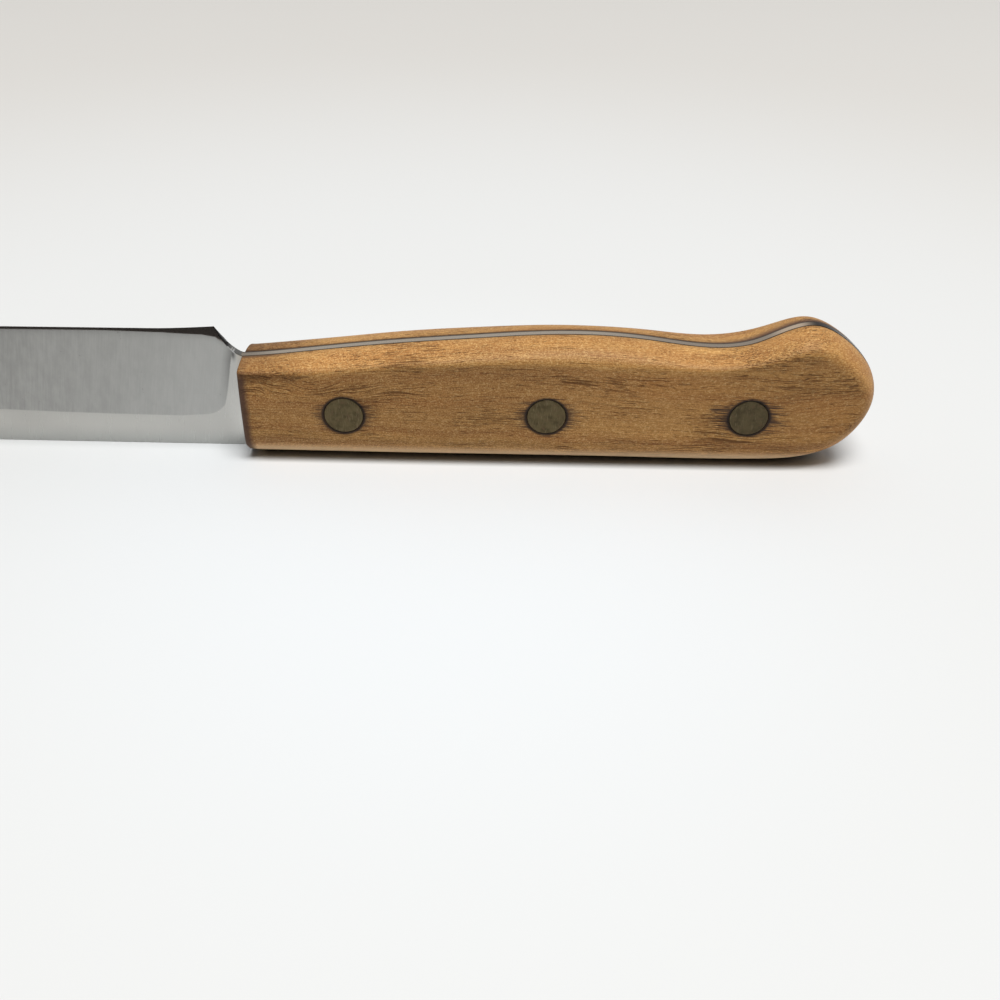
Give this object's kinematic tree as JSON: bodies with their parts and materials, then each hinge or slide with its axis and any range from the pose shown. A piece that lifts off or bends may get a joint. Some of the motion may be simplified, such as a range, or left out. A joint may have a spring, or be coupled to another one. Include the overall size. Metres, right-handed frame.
{
  "type": "carving knife",
  "caption": "Carving knife with a long pointed blade, full tang and two contoured wooden scales held by flush round rivets, standing on its straight back.",
  "frame": {"origin": "on the flat back of the handle, in the middle plane, under the middle rivet", "axes": "+X from the blade to the butt, +Y to the knife's left side, +Z from the back to the cutting edge; the knife stands on its back"},
  "size_m": [0.384, 0.0156, 0.0311],
  "materials": {
    "blade_steel": "satin ground, with a brighter unground strip along the back and a dark sharpening bevel",
    "handle_wood": "oiled, sanded, open pores along the handle",
    "rivet_brass": "dull and tarnished, ground flush"
  },
  "bodies": {
    "root": {"blade_with_tang": "blade_steel", "right_scale": "handle_wood", "left_scale": "handle_wood", "front_rivet_post": "rivet_brass", "front_rivet_socket": "rivet_brass", "middle_rivet_post": "rivet_brass", "middle_rivet_socket": "rivet_brass", "rear_rivet_post": "rivet_brass", "rear_rivet_socket": "rivet_brass"}
  },
  "joints": []
}
